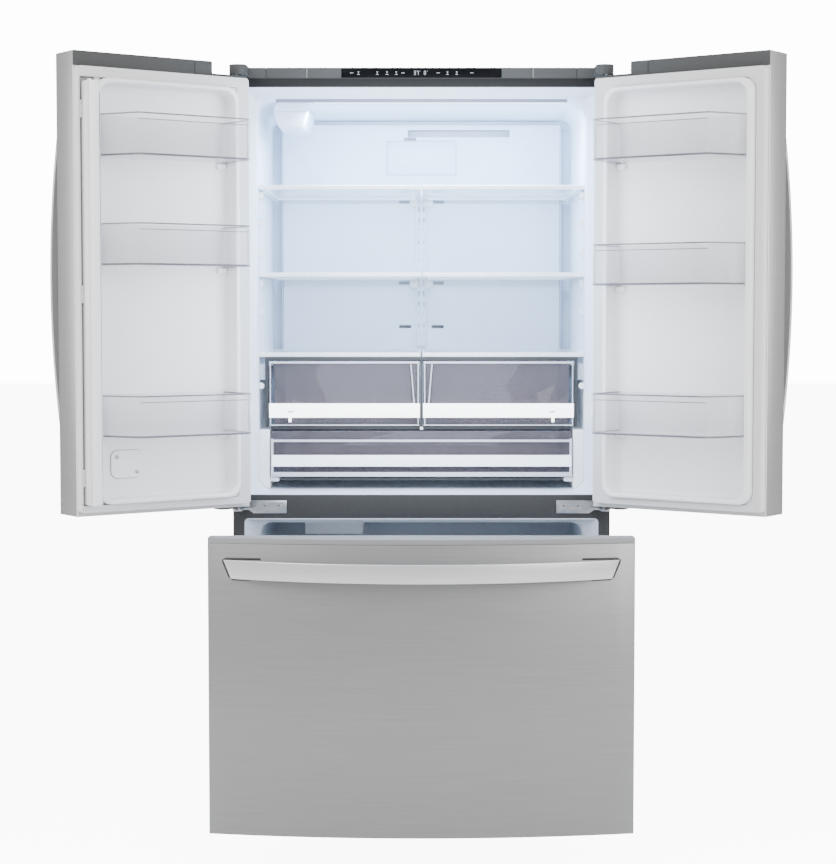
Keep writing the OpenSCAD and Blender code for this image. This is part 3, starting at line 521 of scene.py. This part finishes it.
def cabinet_shell():
    refined("outer_case", 0.4 * mm, 2)
    frame_piece = refined("front_frame", 1.0 * mm, 2)
    # the frame's header above the liner top gets the darker copy: painted shade
    paint_above(frame_piece, liner_high.z - 3 * mm, finishes["header_painted_shade"])
    refined("rear_panel", 0.3 * mm, 1)
    refined("rear_cover", 0.3 * mm, 1)
    refined("top_cover", 1.6 * mm, 3)
    refined("hinge_covers", 1.6 * mm, 3)
    refined("upper_hinges", 0.8 * mm, 2)
    refined("lower_hinges", 0.9 * mm, 2)
    refined("kick_grille", 0.8 * mm, 2)
    low, high = (Vector(c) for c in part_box("kick_grille"))
    # a black sheet behind the kick grille: painted shade that hides the light seen through it
    painted_shade_lip = block("base_painted_shade_sheet", (low.x + 4 * mm, high.y + 14 * mm, low.z + 4 * mm),
                (high.x - 4 * mm, high.y + 16 * mm, high.z - 2 * mm))
    finish(painted_shade_lip, finishes["black_sheet"], "cabinet", "black_sheet")
    refined("levelling_feet", 1.0 * mm, 2)
    refined("rear_rollers", 2.0 * mm, 3)
    refined("base_tray", 0.4 * mm, 1)
    refined("compressor", 2.0 * mm, 3)
    refined("drain_pan", 0.8 * mm, 2)
    refined("water_valve", 0.8 * mm, 2)
    refined("condenser_fan", 0.3 * mm, 1)
    refined("evaporator_fan", 0.3 * mm, 1)
    refined("evaporator", 0.3 * mm, 1)


def top_cover_seams():
    low, high = (Vector(c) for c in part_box("top_cover"))
    lines = [block("seam", (x - 0.9 * mm, low.y - 0.3 * mm, low.z + 1.5 * mm),
                   (x + 0.9 * mm, low.y + mm, high.z - 2 * mm)) for x in (-0.273, 0.266)]
    finish(round_edges(join("top_cover_seams", lines), 0.2 * mm, 1), finishes["drawer_cap_plastic"], "cabinet",
           "cap_plastic")


def hinge_screws():
    low = Vector(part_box("lower_hinges")[0])
    face = front_plane - 4 * mm
    heads = []
    for x in (half_width - 111 * mm, half_width - 77 * mm):
        head = screw("head", (x, face, low.z + 31 * mm - 13 * mm), "Y", 5.5 * mm, 1.6 * mm)
        heads += [head, mirrored(head, "head_twin")]
    finish(join("lower_hinge_screws", heads), finishes["hinge_steel"], "cabinet", "hinge_steel")


def rear_screws():
    low, high = (Vector(c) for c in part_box("rear_panel"))
    heads = []
    for k in range(5):
        z = low.z + 40 * mm + k * (high.z - low.z - 80 * mm) / 4
        head = disc("head", (half_width - 12 * mm, high.y - 0.6 * mm, z), 4.2 * mm, 1.2 * mm, "Y", 24)
        round_edges(head, 0.5 * mm, 2)
        heads += [head, mirrored(head, "head_twin")]
    finish(join("rear_panel_screws", heads), finishes["hinge_steel"], "cabinet", "hinge_steel")


# ---- fridge compartment ----
def air_duct():
    refined("duct_panel", 2.5 * mm, 3, lambda p, e: p.y < duct_face + 2 * mm)
    refined("shelf_supports", 0.7 * mm, 2)
    louvres = []
    for z in (1.515, 1.487, 1.270, 1.143):
        for x in (-0.044, 0.044):
            for k in (-1, 0, 1):
                slat = block("slat", (x - 0.0155, duct_face + 0.4 * mm, z + k * 2.6 * mm - 0.5 * mm),
                             (x + 0.0155, duct_face + 2.8 * mm, z + k * 2.6 * mm + 0.5 * mm))
                louvres.append(slat)
    slats = join("duct_louvres", louvres)
    round_edges(slats, 0.2 * mm, 1)
    finish(slats, finishes["liner_plastic"], "cabinet", "liner_plastic")
    groove = [block("groove", (x1, duct_face - 0.5 * mm, z1), (x2, duct_face + mm, z2)) for x1, x2, z1, z2 in (
        (-0.372, 0.372, 1.5010, 1.5022), (-0.372, -0.3705, 1.09, 1.685), (0.3705, 0.372, 1.09, 1.685))]
    lines = join("duct_seams", groove)
    round_edges(lines, 0.15 * mm, 1)
    finish(lines, finishes["liner_shade"], "cabinet", "liner_plastic")


def air_filter_cover():
    low = Vector((-0.092, duct_face - 2.2 * mm, 1.559))
    high = Vector((0.092, duct_face, 1.648))
    cover = round_edges(block("air_filter_cover", low, high), 0.8 * mm, 2)
    finish(cover, finishes["liner_plastic"], "cabinet", "liner_plastic")
    rim = 1.1 * mm
    outline = [block("edge", (x1, low.y + 0.8 * mm, z1), (x2, high.y, z2)) for x1, x2, z1, z2 in (
        (low.x - rim, high.x + rim, low.z - rim, low.z), (low.x - rim, high.x + rim, high.z, high.z + rim),
        (low.x - rim, low.x, low.z, high.z), (high.x, high.x + rim, low.z, high.z))]
    outline.append(block("tab", (-0.047, low.y, high.z + 2 * mm), (-0.014, high.y, high.z + 10 * mm)))
    edges = round_edges(join("air_filter_outline", outline), 0.3 * mm, 1)
    finish(edges, finishes["liner_shade"], "cabinet", "liner_plastic")


def shelves():
    refined("shelf_frames", 2.0 * mm, 3)
    refined("shelf_glass", 0.6 * mm, 2)
    bosses, slots = [], []
    for z in (1.486, 1.268):
        for x in (-0.019, 0.019):
            boss = disc("boss", (x, duct_face - 3 * mm, z), 13 * mm, 8 * mm, "Y", 40)
            bosses.append(round_edges(boss, 2 * mm, 3))
    finish(join("shelf_brackets", bosses), finishes["trim_plastic"], "cabinet", "trim_plastic")
    for low, high in ((1.430, 1.476), (1.362, 1.380), (1.205, 1.250), (1.140, 1.158)):
        for x in (-0.008, 0.008):
            slots.append(block("slot", (x - 2 * mm, duct_face - 5 * mm, low), (x + 2 * mm, duct_face, high)))
    finish(round_edges(join("shelf_track_slots", slots), 0.8 * mm, 2), finishes["liner_shade"], "cabinet",
           "liner_plastic")


def wall_pegs():
    """Round studs on the side walls that carry the shelves and the drawers."""
    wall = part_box("shelf_frames")[1][0]
    studs = []
    for y, z in ((0.098, 1.475), (0.098, 1.408), (0.098, 1.335), (0.09, 1.010)):
        stud = disc("stud", (wall - 5 * mm, y - 5 * mm, z), 8 * mm, 9 * mm, "Y", 32)
        round_edges(stud, 2.5 * mm, 3)
        studs += [stud, mirrored(stud, "stud_twin")]
    finish(join("wall_pegs", studs), finishes["trim_plastic"], "cabinet", "trim_plastic")


def filter_and_light():
    refined("filter_housing", 5 * mm, 4)
    low, high = (Vector(c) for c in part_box("filter_housing"))
    seam_z = low.z + 0.62 * (high.z - low.z)
    seam = block("filter_seam", (low.x + 6 * mm, low.y - 0.2 * mm, seam_z),
                 (high.x - 6 * mm, low.y + mm, seam_z + mm))
    finish(round_edges(seam, 0.2 * mm, 1), finishes["liner_shade"], "cabinet", "liner_plastic")
    refined("ceiling_light", 1.5 * mm, 3)
    low, high = (Vector(c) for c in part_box("ceiling_light"))
    # a dark strip along the front of the ceiling light: painted shade for the slot there
    painted_shade_lip = round_edges(block("light_slot_painted_shade", (-0.352, low.y - 5 * mm, low.z - 3 * mm), (0.352, low.y, high.z)),
                      0.8 * mm, 2)
    finish(painted_shade_lip, finishes["liner_shade"], "cabinet", "liner_plastic")


def crispers():
    """Two smoky tubs with a white band that glows as painted light, a hanging tab and light beads of painted
    highlight, in a dark surround of painted shade.
    """
    refined("crisper_rails", 1.0 * mm, 2)
    refined("pantry_rails", 3.0 * mm, 3)
    low, high = (Vector(c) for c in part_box("crisper_right"))
    band_low, band_high = low.z + 21 * mm, low.z + 56 * mm
    front = low.y
    for side in (1, -1):
        node = "crisper_" + side_name(side)
        refined(node, 0.9 * mm, 2, material=finishes["smoky_clear"])
        band = round_edges(block("band", (low.x, front - 2.6 * mm, band_low), (high.x, front - 0.1 * mm, band_high)),
                           0.8 * mm, 2)
        tab_x = 323 * mm
        tab = round_edges(block("tab", (tab_x - 3.5 * mm, front - 2.6 * mm, band_low - 11 * mm),
                                (tab_x + 3.5 * mm, front - 0.1 * mm, band_low + mm)), 0.6 * mm, 2)
        # lighter edges and strips on the crisper front: painted highlights
        edges = [round_edges(block("edge", (low.x + mm, front - 1.4 * mm, z1), (high.x - mm, front - 0.1 * mm, z2)),
                             0.4 * mm, 1)
                 for z1, z2 in ((high.z - 6 * mm, high.z - mm), (low.z + mm, low.z + 4 * mm))]
        strips = [bead("strip", [(low.x + 4 * mm, front - 0.6 * mm, low.z + 4 * mm),
                                 (low.x + 4 * mm, front - 0.6 * mm, high.z - 4 * mm)], 1.6 * mm),
                  bead("strip", [(low.x + 14 * mm, front - 0.6 * mm, band_high), (low.x + 22 * mm, front - 0.6 * mm,
                                                                               high.z - 8 * mm)], 1.6 * mm),
                  bead("strip", [(high.x - 3 * mm, front - 0.6 * mm, low.z + 4 * mm),
                                 (high.x - 3 * mm, front - 0.6 * mm, high.z - 4 * mm)], 1.4 * mm)]
        white = join("white", [band, tab])
        light = join("light", edges + strips)
        if side < 0:
            for piece in (white, light):
                twin = mirrored(piece, "twin")
                piece.data = twin.data
                bpy.data.objects.remove(twin, do_unlink=True)
        white.name = node + "_band"
        light.name = node + "_edges"
        # the band's finish glows: painted light
        finish(white, finishes["white_band_painted_glow"], node, "trim_plastic")
        finish(light, finishes["painted_edge_highlight"], node, "clear_plastic")
        refined("humidity_slide_" + side_name(side), 1.0 * mm, 2, material=finishes["trim_plastic"])
    # dark strips round the crispers: painted shade for the gaps between them and the liner
    shade_strips = [block("strip", (x1, front + 5 * mm, z1), (x2, front + 16 * mm, z2)) for x1, x2, z1, z2 in (
        (-0.384, 0.384, high.z + 1.5 * mm, high.z + 9 * mm), (-0.384, -0.376, low.z - 2 * mm, high.z + 2 * mm),
        (0.376, 0.384, low.z - 2 * mm, high.z + 2 * mm), (-2.5 * mm, 2.5 * mm, low.z - 2 * mm, high.z + 2 * mm),
        (-0.370, 0.370, low.z - 8 * mm, low.z - 1.5 * mm))]
    finish(round_edges(join("crisper_painted_shade_surround", shade_strips), 0.4 * mm, 1), finishes["grille_plastic"], "cabinet",
           "grille_plastic")
    foot = block("divider_foot", (-4 * mm, front - 6 * mm, low.z - 9 * mm),
                 (4 * mm, front + 4 * mm, low.z - 1.5 * mm))
    round_edges(foot, 1.5 * mm, 3)
    finish(foot, finishes["trim_plastic"], "cabinet", "trim_plastic")


def pantry():
    """The wide smoky drawer under the crispers with its white band, which glows as painted light."""
    refined("pantry_drawer", 0.9 * mm, 2, material=finishes["smoky_clear"])
    low, high = (Vector(c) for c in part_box("pantry_drawer"))
    front = low.y
    band = round_edges(block("pantry_band", (low.x + 2 * mm, front - 2.4 * mm, low.z + 26 * mm),
                             (high.x - 2 * mm, front - 0.1 * mm, low.z + 54 * mm)), 0.8 * mm, 2)
    finish(band, finishes["bluish_band_painted_glow"], "pantry_drawer", "trim_plastic")
    # lighter foot, brow and posts on the pantry front: painted highlights
    strip = round_edges(block("pantry_foot", (low.x + 4 * mm, front - 1.6 * mm, low.z + mm),
                              (high.x - 4 * mm, front - 0.1 * mm, low.z + 12 * mm)), 0.6 * mm, 2)
    posts = [round_edges(block("post", (side * 0.366 - 3 * mm, front - 1.6 * mm, low.z + mm),
                               (side * 0.366 + 3 * mm, front - 0.1 * mm, high.z - 18 * mm)), 0.5 * mm, 1)
             for side in (-1, 1)]
    brow = round_edges(block("brow", (low.x + 4 * mm, front - 1.2 * mm, high.z - 26 * mm),
                             (high.x - 4 * mm, front - 0.1 * mm, high.z - 20 * mm)), 0.5 * mm, 1)
    finish(join("pantry_edges", [strip, brow] + posts), finishes["painted_edge_highlight"], "pantry_drawer", "clear_plastic")
    left, right = low.x + 2 * mm, high.x - 2 * mm
    near, far, top = low.y + 14 * mm, high.y - 2 * mm, high.z - mm
    # a dark bead round the pantry rim: painted shade
    rim = bead("pantry_rim", [(left, far, top), (left, near, top), (right, near, top), (right, far, top)],
               1.6 * mm)
    finish(rim, finishes["dark_edge_painted_shade"], "pantry_drawer", "clear_plastic")
    # a dark strip under the pantry drawer: painted shadow
    shadow_strip = block("pantry_painted_shadow_strip", (-0.345, front + 8 * mm, low.z - 9 * mm), (0.345, front + 20 * mm, low.z - 2 * mm))
    finish(round_edges(shadow_strip, 0.6 * mm, 1), finishes["grille_plastic"], "cabinet", "grille_plastic")


# ---- doors ----
def door_shell(side):
    name = "door_" + side_name(side)
    closed = door_place(side).inverted()
    refined(name + "_skin", 0.45 * mm, 2)
    refined(name + "_caps", 1.5 * mm, 3)
    refined(name + "_gasket", 2.5 * mm, 3)
    refined(name + "_handle", 3.0 * mm, 4)
    liner = copy_of(name + "_liner", name + "_liner_shape")
    ring_top = front_plane + 13 * mm
    round_edges(liner, 4.2 * mm, 4, lambda p, e: abs((closed @ p).y - ring_top) < mm)
    round_edges(liner, 7.0 * mm, 4, lambda p, e: abs((closed @ p).y - recess_floor) < mm)
    finish(liner, finishes["door_liner_plastic"], name, "door_liner_plastic", name + "_liner")
    liner.data.materials.append(finishes["door_flange_paint"])
    for polygon in liner.data.polygons:
        if abs((closed @ polygon.center).y - front_plane - door_face) < 0.4 * mm:
            polygon.material_index = 1
    corners = []
    near = latch_edge + (42 if side < 0 else 24) * mm
    far = half_width - 42.5 * mm
    for x in (near + 7 * mm, far - 7 * mm):
        for z in (door_low_edge + 27 * mm + 7 * mm, door_high - 26 * mm - 7 * mm):
            corners.append(block("corner", (x - 7 * mm, front_plane + door_face - mm, z - 7 * mm),
                                 (x + 7 * mm, front_plane - 3 * mm, z + 7 * mm)))
    finish(put_on_door(join(name + "_seal_corners", corners), side), finishes["gasket_rubber"], name, "gasket_rubber")
    block_piece = block(name + "_cap_block", (hinge_x - 126 * mm, front_plane - 44 * mm, door_high - 2 * mm),
                        (hinge_x - 80 * mm, front_plane + door_face + 2.4 * mm, cover_top - 0.5 * mm))
    round_edges(block_piece, 2 * mm, 3)
    finish(put_on_door(block_piece, side), finishes["cap_plastic"], name, "cap_plastic")


def bin_outline(side):
    """Plan of a bin on the closed right-hand door, from its latch side to its hinge side."""
    near = latch_edge + (50 if side < 0 else 40) * mm + mm
    far = half_width - 58.5 * mm
    back = front_plane + door_face - 14 * mm
    front = front_plane + door_face + bin_depth
    return [(near, back), (near, back + 44 * mm), (near + 46 * mm, front), (far - 14 * mm, front),
            (far, front - 14 * mm), (far, back)]


def softened(points, reach=13 * mm, steps=4):
    """The same line with its inner corners rounded over."""
    line = [points[0]]
    for before, corner, after in zip(points, points[1:], points[2:]):
        ends = [Vector(corner) + (Vector(other) - Vector(corner)).normalized()
                * min(reach, 0.45 * (Vector(other) - Vector(corner)).length) for other in (before, after)]
        for k in range(steps + 1):
            t = k / steps
            line.append(tuple((1 - t) ** 2 * ends[0] + 2 * t * (1 - t) * Vector(corner) + t * t * ends[1]))
    return line + [points[-1]]


def door_bins(side):
    name = "door_" + side_name(side)
    closed = door_place(side).inverted()
    tubs = copy_of(name + "_bins", name + "_bins_shape")
    round_edges(tubs, 13 * mm, 5, lambda p, e: abs(e.verts[0].co.z - e.verts[1].co.z) > 40 * mm
                and 20 * mm < (closed @ p).y - front_plane - door_face < 118.5 * mm + 20 * mm)
    round_edges(tubs, 1.0 * mm, 2)
    finish(tubs, finishes["clear_plastic"], name, "clear_plastic", name + "_bins")
    outline = bin_outline(side)
    # dark beads at each bin's rim, foot, ends and brow: painted shade
    edges = []
    for drop in bin_drops(side):
        rim = door_high - drop
        foot = rim - bin_height
        inner = [(x + (1.4 * mm if x < 0.2 else -1.4 * mm), y - 1.4 * mm) for x, y in outline]
        edges.append(bead("rim", [(x, y, rim - 1.6 * mm) for x, y in softened(inner)], 1.7 * mm))
        edges.append(bead("foot", [(x, y, foot + 2.0 * mm) for x, y in softened(inner)], 2.4 * mm))
        for x, y in (inner[1], inner[4]):
            edges.append(bead("end", [(x, y - 9 * mm, foot + 2 * mm), (x, y - 9 * mm, rim - 2 * mm)], 1.5 * mm))
        ledge_y = inner[2][1]
        edges.append(bead("brow", [(inner[2][0], ledge_y, rim - 15 * mm), (inner[3][0], ledge_y, rim - 15 * mm)],
                          0.9 * mm))
    finish(put_on_door(join(name + "_bin_edges", edges), side), finishes["dark_edge_painted_shade"], name, "clear_plastic")


def bin_lugs(side):
    """Moulded lugs on the liner's side walls that carry the bins."""
    name = "door_" + side_name(side)
    near = latch_edge + (50 if side < 0 else 40) * mm
    far = half_width - 53.5 * mm
    lugs = []
    for drop in bin_drops(side):
        z = door_high - drop - bin_height - 6 * mm
        for x in (near + 1 * mm, far - 25 * mm):
            lug = block("lug", (x, recess_floor - mm, z - 9 * mm), (x + 24 * mm, recess_floor + 10 * mm, z + 5 * mm))
            lugs.append(round_edges(lug, 3 * mm, 3))
    finish(put_on_door(join(name + "_bin_lugs", lugs), side), finishes["door_liner_plastic"], name,
           "door_liner_plastic")


def handle_pocket_shade(side):
    """Dark lines round both ends of a door's handle: painted shade for the recesses there."""
    name = "door_" + side_name(side)
    low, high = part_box(name + "_handle")
    bow = ((half_width - 0.5 * mm) ** 2 + (43 * mm) ** 2) / (2 * 43 * mm)
    front = front_plane + door_face - 86 * mm
    lines = []
    for z, way in ((low[2], -1), (high[2], 1)):
        x1, x2 = 11 * mm, 57 * mm
        points = []
        for x, dz in ((x1, -60), (x1, -4), (x1 + 4 * mm, 2), (x2 - 4 * mm, 2), (x2, -4), (x2, -60)):
            depth = front + bow - math.sqrt(bow * bow - x * x)
            points.append((x, depth - 0.2 * mm, z + way * dz * mm))
        lines.append(bead("line", points, 1.3 * mm))
    finish(put_on_door(join(name + "_handle_pocket_shade", lines), side), finishes["grille_plastic"], name,
           "grille_plastic")


def centre_flap():
    low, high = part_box("flap_plate")
    strip = block("flap_seal", (7 * mm, front_plane - 21 * mm, low[2] + 2 * mm),
                  (11.5 * mm, front_plane - 6.5 * mm, high[2] - 2 * mm))
    finish(put_on_door(strip, -1), finishes["gasket_rubber"], "door_left", "gasket_rubber")
    refined("flap_plate", 0.4 * mm, 1)
    refined("flap_housing", 3.0 * mm, 3)
    low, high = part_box("flap_housing")
    x1, x2 = 15.2 * mm, 41 * mm
    y1, y2 = front_plane - 13 * mm, front_plane + 29 * mm
    caps = []
    for z1, z2 in ((low[2] - 1.5 * mm, low[2] + 2 * mm), (high[2] - 2 * mm, high[2] + 1.5 * mm)):
        cap = round_edges(block("cap", (x1 + mm, y1 + mm, z1), (x2 - mm, y2 - mm, z2)), 1.2 * mm, 2)
        caps.append(cap)
    lug = disc("lug", ((x1 + x2) / 2, (y1 + y2) / 2, high[2] + 3 * mm), 5 * mm, 6 * mm, "Z", 32)
    caps.append(round_edges(lug, 1.5 * mm, 3))
    finish(put_on_door(join("flap_end_caps", caps), -1), finishes["trim_plastic"], "centre_flap", "trim_plastic")


def service_cover():
    """A small screwed cover low on the left door's inner wall."""
    x1, x2, z1, z2 = 95 * mm, 174 * mm, 0.812, 0.875
    cover = block("cover", (x1, recess_floor - 0.5 * mm, z1), (x2, recess_floor + 4 * mm, z2))
    round_edges(cover, 16 * mm, 6, lambda p, e: abs(e.verts[0].co.y - e.verts[1].co.y) > mm)
    round_edges(cover, 0.8 * mm, 2)
    cover.name = "door_service_cover"
    # a slightly larger dark plate under the cover: painted shade outlining its edge
    shade_ring = block("service_cover_shade_ring", (x1 - 1.2 * mm, recess_floor - 0.5 * mm, z1 - 1.2 * mm),
                 (x2 + 1.2 * mm, recess_floor + 1.2 * mm, z2 + 1.2 * mm))
    round_edges(shade_ring, 17 * mm, 6, lambda p, e: abs(e.verts[0].co.y - e.verts[1].co.y) > mm)
    finish(put_on_door(shade_ring, -1), finishes["liner_shade"], "door_left", "door_liner_plastic")
    finish(put_on_door(cover, -1), finishes["door_liner_plastic"], "door_left", "door_liner_plastic")
    heads = [disc("head", (x, recess_floor + 4.6 * mm, z), 5 * mm, 1.8 * mm, "Y", 32)
             for x, z in ((x1 + 14 * mm, z2 - 14 * mm), (x2 - 14 * mm, z1 + 14 * mm))]
    for head in heads:
        round_edges(head, 0.7 * mm, 2)
    finish(put_on_door(join("service_cover_screws", heads), -1), finishes["hinge_steel"], "door_left", "hinge_steel")


# ---- freezer drawer ----
def freezer_drawer():
    refined("drawer_skin", 0.45 * mm, 2)
    refined("drawer_cap", 1.6 * mm, 3)
    refined("drawer_liner", 2.5 * mm, 3)
    refined("drawer_gasket", 2.5 * mm, 3)
    refined("freezer_basket", 1.0 * mm, 2)
    refined("drawer_slides", 0.5 * mm, 1)
    refined("drawer_mid_slides", 0.5 * mm, 1)
    refined("freezer_rails", 0.5 * mm, 1)
    refined("freezer_tray", 1.0 * mm, 2)
    refined("ice_maker", 4.0 * mm, 3, material=finishes["trim_plastic"])


def drawer_handle():
    """The bowed ribbon with slanted ends, and dark lines of painted shade round its pockets."""
    low, high = (Vector(c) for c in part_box("drawer_handle"))
    handle = copy_of("drawer_handle", "drawer_handle_shape")
    only(handle)
    for way in (1, -1):
        bpy.ops.object.mode_set(mode="EDIT")
        bpy.ops.mesh.select_all(action="SELECT")
        bpy.ops.mesh.bisect(plane_co=(way * high.x, 0, high.z), plane_no=(way * 1.0, 0, -0.42), use_fill=True,
                            clear_outer=True)
        bpy.ops.object.mode_set(mode="OBJECT")
    round_edges(handle, 3.2 * mm, 4)
    finish(handle, finishes["drawer_handle_steel"], "drawer", "handle_steel", "drawer_handle")
    half = half_width - 0.5 * mm
    bow = (half ** 2 + (43 * mm) ** 2) / (2 * 43 * mm)
    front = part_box("drawer_skin")[0][1]
    lines = []
    for way in (1, -1):
        points = []
        for x, z in ((high.x - 80 * mm, high.z + 2.2 * mm), (high.x - 6 * mm, high.z + 2.4 * mm),
                     (high.x + 1 * mm, high.z - 1 * mm), (high.x - 1 * mm, high.z - 8 * mm),
                     (high.x - 13 * mm, low.z + 4 * mm), (high.x - 20 * mm, low.z - 1.5 * mm),
                     (high.x - 60 * mm, low.z - 2.2 * mm)):
            points.append((way * x, front + bow - math.sqrt(bow * bow - x * x) - 0.1 * mm, z))
        lines.append(bead("line", points, 2.3 * mm))
    finish(join("drawer_handle_pocket_shade", lines), finishes["grille_plastic"], "drawer", "grille_plastic")


def seal_ribs():
    """Folds along the seals."""
    for side in (1, -1):
        name = "door_" + side_name(side)
        y = front_plane - 0.5 * mm
        low = (4 * mm + (2 if side < 0 else 7) * mm, door_low_edge + 18 * mm)
        high = (half_width - 18 * mm, door_high - 10 * mm)
        outline = rounded_outline(low, high, 6 * mm)
        if side < 0:       # the flap covers this seal's latch side
            outline = [(low[0] + 54 * mm, low[1]), (high[0], low[1]), high, (low[0] + 54 * mm, high[1])]
        fold = bead(name + "_seal_fold", [(x, y - 0.6 * mm, z) for x, z in outline], 1.1 * mm, closed=side > 0)
        finish(put_on_door(fold, side), finishes["gasket_rubber"], name, "gasket_rubber")


# ---- everything in order ----
camera()
finishes = make_finishes()
studio()
for node, thing in frame["nodes"].items():
    thing.data.materials.clear()
    thing.data.materials.append(finishes[slot_of[node]])
compartment_liners()
top_controls()
cabinet_shell()
hinge_screws()
rear_screws()
top_cover_seams()
air_duct()
air_filter_cover()
shelves()
wall_pegs()
filter_and_light()
crispers()
pantry()
for side in (1, -1):
    door_shell(side)
    door_bins(side)
    bin_lugs(side)
    handle_pocket_shade(side)
centre_flap()
service_cover()
seal_ribs()
freezer_drawer()
drawer_handle()
